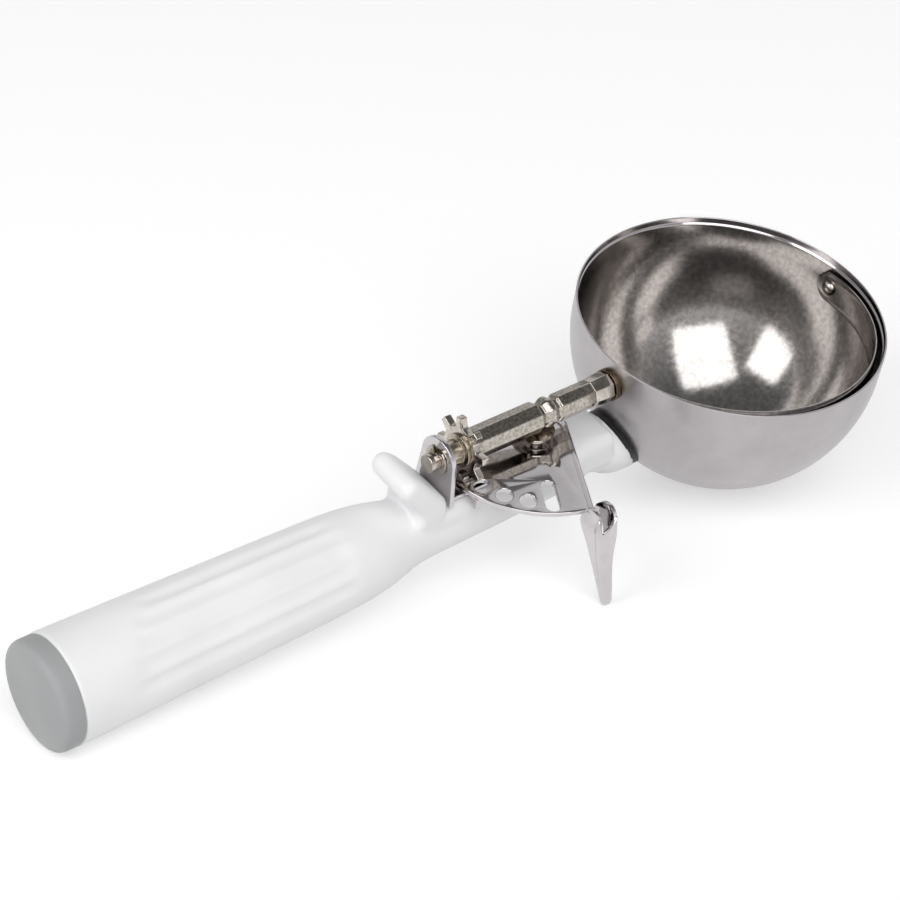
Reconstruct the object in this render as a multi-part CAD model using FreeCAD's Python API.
# Lever ice cream scoop (disher), size 6, built from its separate pieces.
#
# Everything is drawn in the tool frame, in millimetres: the origin is the centre of the
# bowl's sphere, X runs along the scraper shaft from the handle to the bowl, Z is square to
# the bowl's rim, and the thumb lever stands out on the -Y side. At the end every piece is
# laid down the way the scoop lies on a table: on the bowl, the handle's end and the tip of
# the thumb pad.
import FreeCAD
import Part
import math
import os
from FreeCAD import Vector as V

# Fits
FIT = 0.05
LIFT = 0.1

# Bowl
BOWL_R = 38.0
BOWL_WALL = 0.9
BOWL_IN_R = BOWL_R - BOWL_WALL
SKIRT = 6.5
RIM_LIP = 1.5
RIM_LIP_WALL = 0.45
RIM_LIP_SLOPE = 0.4
GASKET_T = 1.6
GASKET_WALL = 4.1

# Scraper blade, a strip of a sphere about the shaft axis
BLADE_OUT_R = 36.3
BLADE_T = 0.7
BLADE_IN_R = BLADE_OUT_R - BLADE_T
BLADE_W = 8.6
BLADE_LIFT_DEG = 3.0
EAR_R = 4.2

# Handle, neck and guard
AXIS_DROP = 19.1
HANDLE_Z = -AXIS_DROP
GRIP_END_X = -188.6
GRIP_END_R = 12.9
GRIP_FRONT_X = -116.0
GRIP_FRONT_R = 11.2
COLLAR_R = 8.0
COLLAR_END_X = -24.0
HANDLE_PROFILE = [
    (GRIP_END_X, GRIP_END_R), (-172.0, 12.55), (-155.0, 12.15), (-138.0, 11.8), (-125.0, 11.5),
    (GRIP_FRONT_X, GRIP_FRONT_R), (-110.0, 10.75), (-105.0, 10.0), (-100.5, 8.95), (-96.5, 8.2),
    (-92.0, 7.85), (-86.0, 7.75), (-75.0, 7.55), (-62.0, 7.2), (-52.0, 6.85), (-47.0, 6.2),
    (-43.5, 5.4), (-41.0, 6.0), (-38.6, 7.3), (-36.0, 7.9), (-33.0, COLLAR_R), (COLLAR_END_X, 7.3),
]
SHOULDER_Z = -10.1
SHOULDER_W = 14.0
SHOULDER_X0 = -97.0
SHOULDER_X1 = -39.2
SHOULDER_EDGE_R = 3.0
HANDLE_BORE_R = 9.0
HANDLE_BORE_END_X = -124.0
GUARD_W = 14.0
GUARD_EDGE = 2.0
GUARD_SIDE = [
    (-90.1, -14.0), (-90.1, -7.7), (-98.5, 1.6), (-101.2, 3.4), (-103.7, 2.4), (-104.2, -0.6),
    (-101.0, -5.0), (-97.8, -9.5), (-98.5, -14.0),
]
FLUTE_N = 5
FLUTE_R = 2.6
FLUTE_DEPTH = 0.55
FLUTE_PITCH_DEG = 21.0
FLUTE_MID_DEG = 122.0
FLUTE_X0 = -177.0
FLUTE_X1 = -118.0

# End cap
CAP_FACE_X = -193.6
CAP_EDGE_R = 2.6
CAP_STEP = 0.15
CAP_PLUG_LEN = 9.0

# Fixing inside the handle
STUD_R = 2.5
STUD_TAIL_X = -140.0
STUD_HEAD_X = -20.0
WASHER_R = 6.0
WASHER_T = 1.2
NUT_ACROSS = 8.0
NUT_T = 4.0

# Scraper shaft and what turns with it
SHAFT_R = 2.25
SHAFT_END_X = -92.9
SHAFT_HEAD_R = 3.05
SHAFT_HEAD_X0 = -35.45
SHAFT_HEAD_X1 = -34.65
CLIP_X = -90.35
CLIP_T = 0.5
CLIP_R = 3.5
CLIP_MOUTH = 2.6
CLIP_GROOVE_R = 1.75
GEAR_TEETH = 8
GEAR_PITCH_R = 7.0
GEAR_TIP_R = 8.2
GEAR_ROOT_R = 5.6
GEAR_X = -82.4
GEAR_T = 1.8
GEAR_X0 = GEAR_X - GEAR_T / 2
GEAR_X1 = GEAR_X + GEAR_T / 2
TOOTH_W = 2.2
TOOTH_TIP_W = 1.7
TOOTH_SINK = 0.6
COLLAR_BODY_R = 3.1
COLLAR_FLANGE_R = 4.1
COLLAR_FLANGE_T = 0.7
SLEEVE_R = 3.8
SLEEVE_FLATS = 8
SLEEVE_FLAT_DEPTH = 0.25
SLEEVE_ROUND_LEN = 3.0
SLEEVE_TAPER = 0.7
KNOB_X = -57.6
KNOB_R = 3.7
THIN_R = 3.4
KNOB_PROFILE = [
    (-2.5, 3.0), (-2.2, 3.0), (-1.8, 3.3), (-0.9, KNOB_R), (0.3, KNOB_R), (1.2, 3.3), (1.6, 2.95),
    (2.2, 2.95), (2.6, THIN_R),
]
FERRULE_X0 = -45.0
FERRULE_X1 = -39.6
FERRULE_R = 3.75
FERRULE_RIM = 1.2

# Bushes and rivets at the two ends of the shaft line
BUSH_R = 3.2
BUSH_FLANGE_R = 4.0
BUSH_FLANGE_X = -39.3
BUSH_IN_X = -36.7
RIVET_R = 1.5
RIVET_HEAD_R = 2.4
RIVET_HEAD_BALL_R = 3.0
RIVET_HEAD_X = 35.35
RIVET_BACK_R = 2.6
RIVET_BACK_BALL_R = 4.0
RIVET_BACK_H = 1.1
RIVET_WASHER_R = 2.7
RIVET_WASHER_X1 = 36.95

# Lever plate
PIVOT_X = -60.0
PLATE_Z = -7.0
PLATE_T = 1.2
PLATE_Z0 = PLATE_Z - PLATE_T / 2
PLATE_Z1 = PLATE_Z + PLATE_T / 2
PLATE_R = 26.0
PLATE_FIRST_DEG = 176.0
PLATE_LAST_DEG = 258.0
PLATE_HUB = 6.0
PLATE_TIP_X = 9.0
RATIO = (GEAR_X - PIVOT_X) / GEAR_PITCH_R
HOLE_R = PIVOT_X - GEAR_X
HOLE_FIRST_DEG = 4.6
HOLE_PITCH_DEG = 360.0 / GEAR_TEETH / abs(RATIO)
HOLE_L = 4.4
HOLE_W = 3.9
HOLE_N = 4
SLOT_L = 10.0
SLOT_W = 3.3
SLOT_INWARD = 2.2
EDGE_RIB_H = 0.8

# Thumb pad, in (y, z): a front wall, a rolled outer edge and a rounded back wall
PAD_X = -65.5
PAD_T = 1.2
PAD_GAP = 2.0
PAD_BACK_X = PAD_X + PAD_T + PAD_GAP + PAD_T
PAD_TAPER = 2.0
PAD_TAPER_Z0 = -12.0
PAD_TIP = (-36.0, -28.4)
PAD_TOP = [(-23.5, -10.4), (-24.6, -6.4), (-27.0, -4.1), (-29.4, -4.0), (-31.3, -6.2)]
PAD_OUTER = [PAD_TOP[-1], (-32.2, -10.5), (-33.2, -17.0), (-34.6, -21.5), (-36.2, -25.9),
             (-36.6, -27.6), PAD_TIP]
PAD_UNDER = [PAD_TIP, (-35.0, -27.9), (-34.1, -26.5)]
PAD_HOLLOW = [(-30.2, -6.5), (-31.0, -10.8), (-32.0, -17.2), (-33.4, -21.7), (-34.8, -25.3),
              (-34.6, -26.2), (-33.6, -25.9)]
PAD_HOLLOW_SIDE = [(-20.0, -8.0), (-20.0, 4.0), (-30.2, 4.0)]
PAD_FRONT_CUT = [(-22.0, -5.3), (-28.1, -5.3), (-30.0, -7.3), (-31.1, -9.4), (-34.0, -10.5),
                 (-34.0, 0.0), (-22.0, 0.0)]
PAD_NECK_Y = 3.4

# Bracket
EAR_PLATE_X = -89.8
BRACKET_T = 1.2
BRACKET_Z1 = SHOULDER_Z + BRACKET_T
BRACKET_BASE_W = 10.0
BRACKET_BASE_X1 = PIVOT_X + 5.5
BRACKET_FOOT = 6.6
BRACKET_TOP_R = 5.6
BRACKET_TOP_DEG = 12.0
STOP_X = -83.4
STOP_W = 1.6
STOP_Y = -8.4
STOP_DROP = 1.9
BRACKET_RIVET_X = (-77.0, -68.5)
RIVET_SHANK_R = 1.3
RIVET_SHANK_L = 6.0
RIVET_FLAT_R = 2.2
RIVET_FLAT_T = 0.7

# Pivot post, its washer and keeper
POST_R = 1.8
POST_SINK = 5.0
LEVER_BUSH_R = POST_R + FIT + 0.9
LEVER_WASHER_R = 4.2
LEVER_WASHER_GAP = 0.05
KEEPER_TOP_Z = -4.1
KEEPER_T = 0.3
KEEPER_R = 4.5
KEEPER_LUG = (-4.75, -3.2)
KEEPER_LUG_W = 1.6
KEEPER_LUG_T = 0.7
KEEPER_LUG_H = 1.4

# Return spring: a torsion spring of six quarter turns with two straight legs
SPRING_WIRE = 0.4
SPRING_R = 3.6
SPRING_QUARTERS = 6
SPRING_PITCH = 0.83
SPRING_MOVING_LEG = 4.0
SPRING_FIXED_LEG = 2.6
SPRING_START_Z = PLATE_Z1 + SPRING_WIRE / 2 + 0.22
SPRING_LUG_X = PIVOT_X + SPRING_R + 0.35
SPRING_LUG_W = 0.65
SPRING_LUG_Y = -4.2
SPRING_LUG_L = 1.4
SPRING_LUG_H = 0.9

BIG = 100.0
X_AXIS = V(1, 0, 0)
Y_AXIS = V(0, 1, 0)
Z_AXIS = V(0, 0, 1)
ORIGIN = V(0, 0, 0)
BODIES = {}


def add(name, shape):
    """Keep a finished piece under its node name and say how big it is."""
    if not shape.isValid():
        shape.fix(1e-5, 1e-5, 1e-4)
    BODIES[name] = shape
    print(name, "solids", len(shape.Solids), "valid", shape.isValid(), "mm3 %.1f" % shape.Volume)


def rod(x0, x1, r, z=0.0):
    """A round bar along X."""
    return Part.makeCylinder(r, x1 - x0, V(x0, 0, z), X_AXIS)


def tube(x0, x1, r_out, r_in, z=0.0):
    """A round tube along X."""
    return rod(x0, x1, r_out, z).cut(rod(x0 - 1, x1 + 1, r_in, z))


def post(z0, z1, r, x=PIVOT_X):
    """A round bar along Z."""
    return Part.makeCylinder(r, z1 - z0, V(x, 0, z0), Z_AXIS)


def box(x0, x1, y0, y1, z0, z1):
    """A block between two corners."""
    return Part.makeBox(x1 - x0, y1 - y0, z1 - z0, V(x0, y0, z0))


def polygon(points):
    """A flat face inside a closed outline of straight edges."""
    return Part.Face(Part.makePolygon(list(points) + [points[0]]))


def curve_through(points):
    """One edge through the points: straight for two of them, else a smooth curve."""
    if len(points) == 2:
        return Part.makeLine(points[0], points[1])
    curve = Part.BSplineCurve()
    curve.interpolate(list(points))
    return curve.toShape()


def spun_x(profile, z_axis=0.0):
    """A solid of revolution about X at height z_axis, from (x, radius) points."""
    outline = [V(profile[0][0], 0, z_axis)]
    outline += [V(x, 0, z_axis + r) for x, r in profile]
    outline += [V(profile[-1][0], 0, z_axis)]
    return polygon(outline).revolve(V(0, 0, z_axis), X_AXIS, 360)


def smooth_spun_x(profile, z_axis):
    """As spun_x, but the outline is one smooth curve through the points."""
    top = [V(x, 0, z_axis + r) for x, r in profile]
    first, last = V(profile[0][0], 0, z_axis), V(profile[-1][0], 0, z_axis)
    edges = [
        Part.makeLine(first, top[0]),
        curve_through(top),
        Part.makeLine(top[-1], last),
        Part.makeLine(last, first),
    ]
    return Part.Face(Part.Wire(edges)).revolve(V(0, 0, z_axis), X_AXIS, 360)


def make_bowl():
    """Half-ball cup with a short straight skirt, a thin lip in the rim and two holes."""
    s = math.sqrt(0.5)
    lip_r = BOWL_R - RIM_LIP_WALL
    lip_z = SKIRT - RIM_LIP
    corners = [
        V(BOWL_R, 0, 0),
        V(BOWL_R, 0, SKIRT),
        V(lip_r, 0, SKIRT),
        V(lip_r, 0, lip_z),
        V(BOWL_IN_R, 0, lip_z - RIM_LIP_SLOPE),
        V(BOWL_IN_R, 0, 0),
    ]
    outer = Part.Arc(V(0, 0, -BOWL_R), V(BOWL_R * s, 0, -BOWL_R * s), V(BOWL_R, 0, 0))
    inner = Part.Arc(V(BOWL_IN_R, 0, 0), V(BOWL_IN_R * s, 0, -BOWL_IN_R * s), V(0, 0, -BOWL_IN_R))
    edges = [outer.toShape()]
    edges += [Part.makeLine(a, b) for a, b in zip(corners, corners[1:])]
    edges += [inner.toShape(), Part.makeLine(V(0, 0, -BOWL_IN_R), V(0, 0, -BOWL_R))]
    cup = Part.Face(Part.Wire(edges)).revolve(ORIGIN, Z_AXIS, 360)
    cup = cup.cut(rod(-BOWL_R - 2, -BOWL_R + 4, BUSH_R))
    return cup.cut(rod(BOWL_R - 4, BOWL_R + 2, RIVET_R))


def make_gasket():
    """Black ring between the collar and the bowl, cupped to the bowl's outside."""
    outer_r = COLLAR_R - 0.2
    ring = tube(-BOWL_R, STUD_HEAD_X, outer_r, outer_r - GASKET_WALL, z=HANDLE_Z)
    return ring.common(Part.makeSphere(BOWL_R + GASKET_T)).cut(Part.makeSphere(BOWL_R))


def flute(angle):
    """A shallow rounded channel that runs along the grip and fades out at both ends."""
    ends = []
    for x in (FLUTE_X0, FLUTE_X1):
        share = (x - GRIP_END_X) / (GRIP_FRONT_X - GRIP_END_X)
        d = GRIP_END_R + (GRIP_FRONT_R - GRIP_END_R) * share + FLUTE_R - FLUTE_DEPTH
        ends.append(V(x, d * math.cos(angle), HANDLE_Z + d * math.sin(angle)))
    run = ends[1] - ends[0]
    bar = Part.makeCylinder(FLUTE_R, run.Length, ends[0], run)
    return bar.fuse([Part.makeSphere(FLUTE_R, p) for p in ends])


def is_shoulder_edge(edge):
    """Long top edges of the shoulder block."""
    a, b = edge.Vertexes[0].Point, edge.Vertexes[-1].Point
    at_top = min(a.z, b.z) > SHOULDER_Z - FIT
    return at_top and abs(a.x - b.x) > 1


def is_guard_edge(edge):
    """Edges round the guard's two flat sides."""
    a, b = edge.Vertexes[0].Point, edge.Vertexes[-1].Point
    return abs(a.y - b.y) < 1


def make_grip():
    """Moulded handle: grip with flutes, guard, neck, shoulder under the bracket, and collar."""
    body = smooth_spun_x(HANDLE_PROFILE, HANDLE_Z)
    half = SHOULDER_W / 2
    shoulder = box(SHOULDER_X0, SHOULDER_X1, -half, half, HANDLE_Z, SHOULDER_Z)
    shoulder = shoulder.makeFillet(SHOULDER_EDGE_R, [e for e in shoulder.Edges if is_shoulder_edge(e)])
    side = polygon([V(x, -GUARD_W / 2, z) for x, z in GUARD_SIDE])
    guard = side.extrude(V(0, GUARD_W, 0))
    guard = guard.makeFillet(GUARD_EDGE, [e for e in guard.Edges if is_guard_edge(e)])
    body = body.fuse(shoulder).fuse(guard).removeSplitter()
    body = body.cut(Part.makeSphere(BOWL_R + GASKET_T))
    body = body.cut(rod(GRIP_END_X - 1, HANDLE_BORE_END_X, HANDLE_BORE_R, z=HANDLE_Z))
    body = body.cut(rod(HANDLE_BORE_END_X - 1, STUD_HEAD_X, STUD_R + FIT, z=HANDLE_Z))
    for x in BRACKET_RIVET_X:
        body = body.cut(post(SHOULDER_Z - RIVET_SHANK_L, SHOULDER_Z + 1, RIVET_SHANK_R, x))
    body = body.cut(post(SHOULDER_Z - POST_SINK, SHOULDER_Z + 1, POST_R))
    for k in range(FLUTE_N):
        body = body.cut(flute(math.radians(FLUTE_MID_DEG + (k - (FLUTE_N - 1) / 2) * FLUTE_PITCH_DEG)))
    return body


def make_end_cap():
    """Grey cap with a rounded edge, and a plug that fits the handle's bore."""
    s = CAP_EDGE_R * (1 - math.sqrt(0.5))
    r = GRIP_END_R - CAP_STEP
    face = [V(CAP_FACE_X, 0, 0), V(CAP_FACE_X, 0, r - CAP_EDGE_R)]
    rounded = [face[1], V(CAP_FACE_X + s, 0, r - s), V(CAP_FACE_X + CAP_EDGE_R, 0, r)]
    plug = [
        rounded[2],
        V(GRIP_END_X, 0, r),
        V(GRIP_END_X, 0, HANDLE_BORE_R),
        V(GRIP_END_X + CAP_PLUG_LEN, 0, HANDLE_BORE_R),
        V(GRIP_END_X + CAP_PLUG_LEN, 0, 0),
        face[0],
    ]
    edges = [Part.makeLine(face[0], face[1]), Part.Arc(*rounded).toShape()]
    edges += [Part.makeLine(a, b) for a, b in zip(plug, plug[1:])]
    cap = Part.Face(Part.Wire(edges)).revolve(ORIGIN, X_AXIS, 360)
    cap.translate(V(0, 0, HANDLE_Z))
    return cap


def make_stud():
    """Stud welded to the bowl's outside, which runs through the neck into the handle."""
    return rod(STUD_TAIL_X, STUD_HEAD_X, STUD_R, z=HANDLE_Z).cut(Part.makeSphere(BOWL_R))


def make_nut():
    """Hexagon nut on the stud's tail, against the washer."""
    x = HANDLE_BORE_END_X - WASHER_T - NUT_T
    r = NUT_ACROSS / math.sqrt(3)
    corners = [V(x, r * math.cos(math.pi / 3 * k), HANDLE_Z + r * math.sin(math.pi / 3 * k))
               for k in range(6)]
    nut = polygon(corners).extrude(V(NUT_T, 0, 0))
    return nut.cut(rod(x - 1, x + NUT_T + 1, STUD_R, z=HANDLE_Z))


def make_bracket():
    """Folded strip: a base on the neck, an ear for the shaft's end and a stop tab at the side."""
    half = BRACKET_BASE_W / 2
    base = box(EAR_PLATE_X, BRACKET_BASE_X1, -half, half, SHOULDER_Z, BRACKET_Z1)
    t = math.radians(BRACKET_TOP_DEG)
    left = V(EAR_PLATE_X, BRACKET_TOP_R * math.cos(t), BRACKET_TOP_R * math.sin(t))
    right = V(EAR_PLATE_X, -left.y, left.z)
    outline = Part.Wire([
        Part.makeLine(V(EAR_PLATE_X, -BRACKET_FOOT, SHOULDER_Z), V(EAR_PLATE_X, BRACKET_FOOT, SHOULDER_Z)),
        Part.makeLine(V(EAR_PLATE_X, BRACKET_FOOT, SHOULDER_Z), left),
        Part.Arc(left, V(EAR_PLATE_X, 0, BRACKET_TOP_R), right).toShape(),
        Part.makeLine(right, V(EAR_PLATE_X, -BRACKET_FOOT, SHOULDER_Z)),
    ])
    ear = Part.Face(outline).extrude(V(BRACKET_T, 0, 0))
    arm = box(STOP_X, STOP_X + STOP_W, STOP_Y, -half + 1, SHOULDER_Z, BRACKET_Z1)
    tab = box(STOP_X, STOP_X + STOP_W, STOP_Y, STOP_Y + BRACKET_T, SHOULDER_Z - STOP_DROP, BRACKET_Z1)
    bracket = base.fuse([ear, arm, tab]).removeSplitter()
    bracket = bracket.cut(rod(EAR_PLATE_X - 1, EAR_PLATE_X + 3, BUSH_R))
    bracket = bracket.cut(post(SHOULDER_Z - 1, BRACKET_Z1 + 1, POST_R))
    for x in BRACKET_RIVET_X:
        bracket = bracket.cut(post(SHOULDER_Z - 1, BRACKET_Z1 + 1, RIVET_SHANK_R, x))
    return bracket


def make_bracket_rivets():
    """Two rivets that hold the bracket's base to the neck."""
    shapes = []
    for x in BRACKET_RIVET_X:
        shank = post(SHOULDER_Z - RIVET_SHANK_L, BRACKET_Z1, RIVET_SHANK_R, x)
        head = post(BRACKET_Z1, BRACKET_Z1 + RIVET_FLAT_T, RIVET_FLAT_R, x)
        shapes.append(shank.fuse(head).removeSplitter())
    return Part.makeCompound(shapes)


def make_gear():
    """Stamped pinion: a small disc with straight teeth, one of them in the plate's first hole."""
    half = V(0, TOOTH_W / 2, 0)
    tip = V(0, TOOTH_TIP_W / 2, 0)
    foot_at, tip_at = V(GEAR_X0, 0, GEAR_ROOT_R - TOOTH_SINK), V(GEAR_X0, 0, GEAR_TIP_R)
    teeth = []
    for k in range(GEAR_TEETH):
        tooth = polygon([foot_at - half, foot_at + half, tip_at + tip, tip_at - tip])
        tooth = tooth.extrude(V(GEAR_T, 0, 0))
        tooth.rotate(ORIGIN, X_AXIS, 180 + RATIO * HOLE_FIRST_DEG + 360.0 / GEAR_TEETH * k)
        teeth.append(tooth)
    gear = rod(GEAR_X0, GEAR_X1, GEAR_ROOT_R).fuse(teeth).removeSplitter()
    return gear.cut(rod(GEAR_X0 - 1, GEAR_X1 + 1, SHAFT_R))


def plate_hole(deg, length, width, centre_r):
    """A round-ended hole through the plate, its length along the radius."""
    half = (length - width) / 2
    z0, z1 = PLATE_Z0 - 1, PLATE_Z1 + 1
    hole = post(z0, z1, width / 2, -centre_r - half).fuse(post(z0, z1, width / 2, -centre_r + half))
    hole = hole.fuse(box(-centre_r - half, -centre_r + half, -width / 2, width / 2, z0, z1))
    hole.rotate(ORIGIN, Z_AXIS, deg)
    hole.translate(V(PIVOT_X, 0, 0))
    return hole


def on_plate_arc(deg):
    """A point on the plate's round edge."""
    a = math.radians(deg)
    return V(PIVOT_X + PLATE_R * math.cos(a), PLATE_R * math.sin(a), PLATE_Z0)


def make_lever():
    """Thumb lever, one stamping: sector plate, turned-down edge, spring lug, neck and folded pad."""
    first, last = on_plate_arc(PLATE_FIRST_DEG), on_plate_arc(PLATE_LAST_DEG)
    middle = on_plate_arc((PLATE_FIRST_DEG + PLATE_LAST_DEG) / 2)
    corner = V(PAD_X + 0.6, -PLATE_R + 0.2, PLATE_Z0)
    tip = V(PIVOT_X + PLATE_TIP_X, 0.8, PLATE_Z0)
    flank = [V(PIVOT_X + 4, PLATE_HUB - 1, PLATE_Z0), V(PIVOT_X - 2, PLATE_HUB, PLATE_Z0)]
    outline = [last, corner, tip] + flank + [first]
    edges = [Part.Arc(first, middle, last).toShape()]
    edges += [Part.makeLine(a, b) for a, b in zip(outline, outline[1:])]
    plate = Part.Face(Part.Wire(edges)).extrude(V(0, 0, PLATE_T))
    for k in range(HOLE_N):
        plate = plate.cut(plate_hole(HOLE_FIRST_DEG + k * HOLE_PITCH_DEG, HOLE_L, HOLE_W, HOLE_R))
    slot_deg = HOLE_FIRST_DEG + HOLE_N * HOLE_PITCH_DEG
    plate = plate.cut(plate_hole(slot_deg, SLOT_L, SLOT_W, HOLE_R - SLOT_INWARD))
    plate = plate.cut(post(PLATE_Z0 - 1, PLATE_Z1 + 1, LEVER_BUSH_R))
    edge = corner - tip
    out = V(-edge.y, edge.x, 0).normalize() * PLATE_T
    drop = V(0, 0, -EDGE_RIB_H)
    rib = polygon([tip + drop, corner + drop, corner + drop + out, tip + drop + out])
    rib = rib.extrude(V(0, 0, EDGE_RIB_H + PLATE_T))
    lug = box(SPRING_LUG_X, SPRING_LUG_X + SPRING_LUG_W, SPRING_LUG_Y, SPRING_LUG_Y + SPRING_LUG_L,
              PLATE_Z, PLATE_Z1 + SPRING_LUG_H)
    return plate.fuse([rib, lug, make_pad()]).removeSplitter()


def pad_sheet(curves, x0, x1):
    """A piece of the pad between two x, bounded by curves given in (y, z)."""
    edges = [curve_through([V(x0, y, z) for y, z in curve]) for curve in curves]
    return Part.Face(Part.Wire(edges)).extrude(V(x1 - x0, 0, 0))


def make_pad():
    """Folded leaf: front wall on the handle's side, rolled outer edge, rounded back wall."""
    leaf = pad_sheet([PAD_TOP, PAD_OUTER, PAD_UNDER, [PAD_UNDER[-1], PAD_TOP[0]]], PAD_X, PAD_BACK_X)
    corners = [PAD_HOLLOW[-1]] + PAD_HOLLOW_SIDE + [PAD_HOLLOW[0]]
    hollow = pad_sheet([PAD_HOLLOW] + list(zip(corners, corners[1:])), PAD_X + PAD_T, PAD_BACK_X - PAD_T)
    low_z = 2 * PAD_TIP[1] - PAD_TAPER_Z0
    taper = polygon([V(PAD_BACK_X, -BIG, PAD_TAPER_Z0), V(PAD_BACK_X - 2 * PAD_TAPER, -BIG, low_z),
                     V(PAD_BACK_X + 1, -BIG, low_z), V(PAD_BACK_X + 1, -BIG, PAD_TAPER_Z0)])
    taper = taper.extrude(V(0, BIG, 0))
    inner_taper = taper.copy()
    inner_taper.translate(V(-PAD_T, 0, 0))
    front_cut = polygon([V(PAD_X - 1, y, z) for y, z in PAD_FRONT_CUT])
    front_cut = front_cut.extrude(V(PAD_BACK_X - PAD_T - PAD_X + 1, 0, 0))
    leaf = leaf.cut(taper).cut(hollow.cut(inner_taper)).cut(front_cut)
    y0 = -PLATE_R - 2.2
    neck = box(PAD_X, PAD_X + 2.0, y0, y0 + PAD_NECK_Y, PLATE_Z - 2.8, PLATE_Z1)
    return leaf.fuse(neck)


def make_blade():
    """Thin strip of a sphere that turns about the shaft, with an ear at each pivot."""
    shell = Part.makeSphere(BLADE_OUT_R).cut(Part.makeSphere(BLADE_IN_R))
    half = box(-BOWL_R, BOWL_R, -BOWL_R, 0, -BLADE_W / 2, BLADE_W / 2)
    strip = shell.common(half).fuse(shell.common(rod(-BOWL_R, BOWL_R, EAR_R)))
    strip.rotate(ORIGIN, X_AXIS, -BLADE_LIFT_DEG)
    strip = strip.cut(rod(0, BOWL_R, RIVET_R + FIT))
    return strip.cut(rod(-BOWL_R, 0, SHAFT_R))


def make_spring():
    """Torsion spring round the pivot post: one unbroken wire with two straight legs."""
    points, ways = [], []
    for k in range(SPRING_QUARTERS + 1):
        a = math.pi / 2 * k
        points.append(V(PIVOT_X + SPRING_R * math.cos(a), SPRING_R * math.sin(a),
                        SPRING_START_Z + SPRING_PITCH * k / 4))
        ways.append(V(-SPRING_R * math.sin(a), SPRING_R * math.cos(a),
                      SPRING_PITCH / (2 * math.pi)).normalize())
    start = points[0] - ways[0] * SPRING_MOVING_LEG
    edges = [Part.makeLine(start, points[0])]
    for k in range(SPRING_QUARTERS):
        edges += biarc(points[k], ways[k], points[k + 1], ways[k + 1])
    edges.append(Part.makeLine(points[-1], points[-1] + ways[-1] * SPRING_FIXED_LEG))
    spine = Part.Wire(edges)
    shell = Part.BRepOffsetAPI.MakePipeShell(spine)
    shell.add(Part.Wire(Part.Circle(start, ways[0], SPRING_WIRE / 2).toShape()))
    shell.build()
    shell.makeSolid()
    print("spring length %.1f" % spine.Length, "least gap to itself %.2f" % least_gap(spine))
    return shell.shape()


def biarc(p0, t0, p1, t1):
    """Two arcs that join two points and leave and arrive along the given directions."""
    v = p1 - p0
    a = 2 * (1 - t0.dot(t1))
    b = 2 * v.dot(t0 + t1)
    d = (-b + math.sqrt(b * b + 4 * a * v.dot(v))) / (2 * a)
    m = (p0 + t0 * d + p1 - t1 * d) * 0.5
    return [Part.Arc(p0, arc_middle(p0, t0, m), m).toShape(),
            Part.Arc(m, arc_middle(p1, t1 * -1, m), p1).toShape()]


def arc_middle(p, way, q):
    """Middle point of the arc that leaves p along way and ends at q."""
    chord = q - p
    c = chord.Length
    along = way.dot(chord) / c
    bulge = (way - chord * (along / c)).normalize()
    return (p + q) * 0.5 + bulge * (c / 2 * (1 - along) / math.sqrt(1 - along * along))


def least_gap(spine):
    """Least clear distance between stretches of the wire that aren't neighbours."""
    n = 240
    pts = spine.discretize(Number=n)
    skip = int(SPRING_R * math.pi * (n - 1) / spine.Length)
    gaps = [(pts[i] - pts[j]).Length for i in range(n) for j in range(i + skip, n)]
    return min(gaps) - SPRING_WIRE


def make_shaft():
    """Scraper shaft with a groove for the clip and a riveted head inside the bowl."""
    shaft = rod(SHAFT_END_X, SHAFT_HEAD_X1, SHAFT_R)
    shaft = shaft.cut(tube(CLIP_X, CLIP_X + CLIP_T, SHAFT_R + 1, CLIP_GROOVE_R))
    return shaft.fuse(rod(SHAFT_HEAD_X0, SHAFT_HEAD_X1, SHAFT_HEAD_R)).removeSplitter()


def make_clip():
    """Open retaining ring in the shaft's groove, outside the bracket's ear."""
    ring = tube(CLIP_X, CLIP_X + CLIP_T, CLIP_R, CLIP_GROOVE_R)
    return ring.cut(box(CLIP_X - 1, CLIP_X + 1, -CLIP_MOUTH / 2, CLIP_MOUTH / 2, 0, CLIP_R + 1))


def make_collar():
    """Spacer between the bracket's ear and the gear, with a thin flange at the gear."""
    x0 = EAR_PLATE_X + BRACKET_T + LIFT
    flange = rod(GEAR_X0 - COLLAR_FLANGE_T, GEAR_X0, COLLAR_FLANGE_R)
    collar = rod(x0, GEAR_X0, COLLAR_BODY_R).fuse(flange).removeSplitter()
    return collar.cut(rod(x0 - 1, GEAR_X0 + 1, SHAFT_R))


def make_sleeve():
    """Thick sleeve behind the gear, with flats rolled into it."""
    x0, x1 = GEAR_X1, KNOB_X + KNOB_PROFILE[0][0] - LIFT
    bar = spun_x([(x0, SLEEVE_R), (x1 - 1, SLEEVE_R), (x1, SLEEVE_R - SLEEVE_TAPER)])
    for k in range(SLEEVE_FLATS):
        flat = box(x0 + SLEEVE_ROUND_LEN, x1 - 1, -2, 2, SLEEVE_R - SLEEVE_FLAT_DEPTH, SLEEVE_R + 1)
        flat.rotate(ORIGIN, X_AXIS, 360.0 / SLEEVE_FLATS * (k + 0.5))
        bar = bar.cut(flat)
    return bar.cut(rod(x0 - 1, x1 + 1, SHAFT_R))


def make_tube():
    """Thin tube from the knob to the bowl: bead, groove and plain length."""
    outline = [(KNOB_X + x, r) for x, r in KNOB_PROFILE] + [(FERRULE_X0, THIN_R)]
    return spun_x(outline).cut(rod(KNOB_X - 5, FERRULE_X0 + 1, SHAFT_R))


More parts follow.
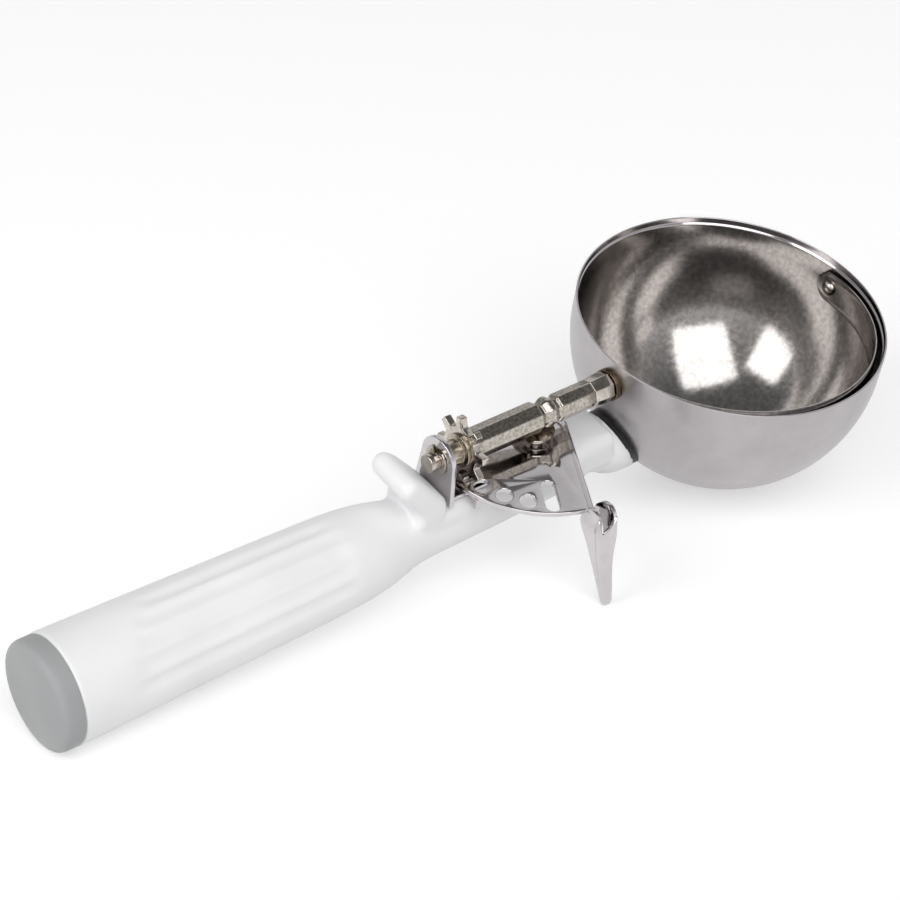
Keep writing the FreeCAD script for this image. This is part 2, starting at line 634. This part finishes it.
def make_ferrule():
    """Tapered ferrule at the bowl, widest against the bush."""
    outline = [(FERRULE_X0, THIN_R + LIFT), (FERRULE_X1 - FERRULE_RIM, FERRULE_R), (FERRULE_X1, FERRULE_R)]
    return spun_x(outline).cut(rod(FERRULE_X0 - 1, FERRULE_X1 + 1, SHAFT_R))


def make_bowl_bush():
    """Flanged bush in the bowl's wall that the shaft turns in."""
    flange = rod(BUSH_FLANGE_X, -BOWL_R, BUSH_FLANGE_R)
    bush = rod(BUSH_FLANGE_X, BUSH_IN_X, BUSH_R).fuse(flange).removeSplitter()
    return bush.cut(rod(BUSH_FLANGE_X - 1, BUSH_IN_X + 1, SHAFT_R + FIT))


def make_far_rivet():
    """Rivet through the bowl's far wall, with a round head on the blade's ear."""
    drop = math.sqrt(RIVET_HEAD_BALL_R ** 2 - RIVET_HEAD_R ** 2)
    head = Part.makeSphere(RIVET_HEAD_BALL_R, V(RIVET_HEAD_X + drop, 0, 0))
    head = head.common(rod(RIVET_HEAD_X - RIVET_HEAD_BALL_R, RIVET_HEAD_X, RIVET_HEAD_R))
    back = Part.makeSphere(RIVET_BACK_BALL_R, V(BOWL_R + RIVET_BACK_H - RIVET_BACK_BALL_R, 0, 0))
    back = back.common(rod(BOWL_R, BOWL_R + 2, RIVET_BACK_R))
    return rod(RIVET_HEAD_X - FIT, BOWL_R + FIT, RIVET_R).fuse([head, back]).removeSplitter()


def make_keeper():
    """Cup washer on the post's top, with a lug that holds the spring's fixed leg."""
    disc = post(KEEPER_TOP_Z - KEEPER_T, KEEPER_TOP_Z, KEEPER_R)
    disc = disc.cut(post(KEEPER_TOP_Z - 1, KEEPER_TOP_Z + 1, POST_R))
    x, y = PIVOT_X + KEEPER_LUG[0], KEEPER_LUG[1]
    arm = box(x, x + KEEPER_LUG_W, y, y + KEEPER_LUG_W, KEEPER_TOP_Z - KEEPER_T, KEEPER_TOP_Z)
    lug = box(x, x + KEEPER_LUG_T, y, y + KEEPER_LUG_W, KEEPER_TOP_Z - KEEPER_LUG_H, KEEPER_TOP_Z)
    return disc.fuse([arm, lug]).removeSplitter()


def make_lever_washer():
    """Spacer between the bracket's base and the lever plate."""
    ring = post(BRACKET_Z1 + LEVER_WASHER_GAP, PLATE_Z0 - LEVER_WASHER_GAP, LEVER_WASHER_R)
    return ring.cut(post(SHOULDER_Z, PLATE_Z1, POST_R + FIT))


def resting_normal(handle_low, pad_tip):
    """Upward direction of the table under the bowl, the handle's end and the pad's tip."""
    tx, ty = 0.0, 0.0
    for _ in range(60):
        size = math.sqrt(1 + tx * tx + ty * ty)
        side = math.sqrt(1 + ty * ty)
        tx = (BOWL_R * size + handle_low.z - GRIP_END_R * side) / -handle_low.x
        ty = (BOWL_R * size + pad_tip.z + pad_tip.x * tx) / -pad_tip.y
    return V(tx, ty, 1).normalize()


def lay_down_and_write():
    """Turn every piece into the lying pose, centre the whole on its base and write it."""
    up = resting_normal(V(GRIP_END_X, 0, HANDLE_Z), V(PAD_X, *PAD_TIP))
    along = (X_AXIS - up * X_AXIS.dot(up)).normalize()
    turn = FreeCAD.Rotation(along, up.cross(along), up, "ZXY")
    place = FreeCAD.Placement(ORIGIN, turn.inverted())
    whole = FreeCAD.BoundBox()
    for shape in BODIES.values():
        shape.Placement = place.multiply(shape.Placement)
        whole.add(shape.optimalBoundingBox(False, False))
    shift = V(-whole.Center.x, -whole.Center.y, -whole.ZMin)
    os.makedirs("parts", exist_ok=True)
    for name, shape in BODIES.items():
        shape.translate(shift)
        shape.exportStep("parts/%s.step" % name)
    laid = FreeCAD.Placement(shift, FreeCAD.Rotation()).multiply(place)
    print("size", [round(v, 2) for v in (whole.XLength, whole.YLength, whole.ZLength)])
    for name, point in {"ball_centre": ORIGIN, "lever_pivot": V(PIVOT_X, 0, PLATE_Z),
                        "cap_face": V(CAP_FACE_X, 0, HANDLE_Z)}.items():
        p = laid.multVec(point)
        print(name, "%.6f %.6f %.6f" % (p.x, p.y, p.z))
    for name, axis in {"shaft_axis": X_AXIS, "side_axis": Y_AXIS, "rim_normal": Z_AXIS}.items():
        d = place.multVec(axis)
        print(name, "%.8f %.8f %.8f" % (d.x, d.y, d.z))
    print("scraper per lever turn %.4f" % RATIO)


def main():
    add("handle_grip", make_grip())
    add("end_cap", make_end_cap())
    add("bowl", make_bowl())
    add("bowl_gasket", make_gasket())
    add("bowl_stud", make_stud())
    add("stud_washer", tube(HANDLE_BORE_END_X - WASHER_T, HANDLE_BORE_END_X, WASHER_R, STUD_R, HANDLE_Z))
    add("stud_nut", make_nut())
    add("bracket", make_bracket())
    add("bracket_rivets", make_bracket_rivets())
    add("ear_bush", tube(EAR_PLATE_X, EAR_PLATE_X + BRACKET_T, BUSH_R, SHAFT_R + FIT))
    add("bowl_bush", make_bowl_bush())
    add("far_rivet", make_far_rivet())
    add("rivet_washer", tube(BLADE_OUT_R + LIFT, RIVET_WASHER_X1, RIVET_WASHER_R, RIVET_R))
    add("pivot_post", post(SHOULDER_Z - POST_SINK, KEEPER_TOP_Z, POST_R))
    add("spring_keeper", make_keeper())
    add("lever_washer", make_lever_washer())
    add("scraper_shaft", make_shaft())
    add("retaining_clip", make_clip())
    add("gear_collar", make_collar())
    add("drive_gear", make_gear())
    add("gear_sleeve", make_sleeve())
    add("shaft_tube", make_tube())
    add("ferrule", make_ferrule())
    add("scraper_blade", make_blade())
    add("thumb_lever", make_lever())
    add("lever_bush", post(PLATE_Z0, PLATE_Z1, LEVER_BUSH_R).cut(post(PLATE_Z0 - 1, 0, POST_R + FIT)))
    add("return_spring", make_spring())
    lay_down_and_write()


main()
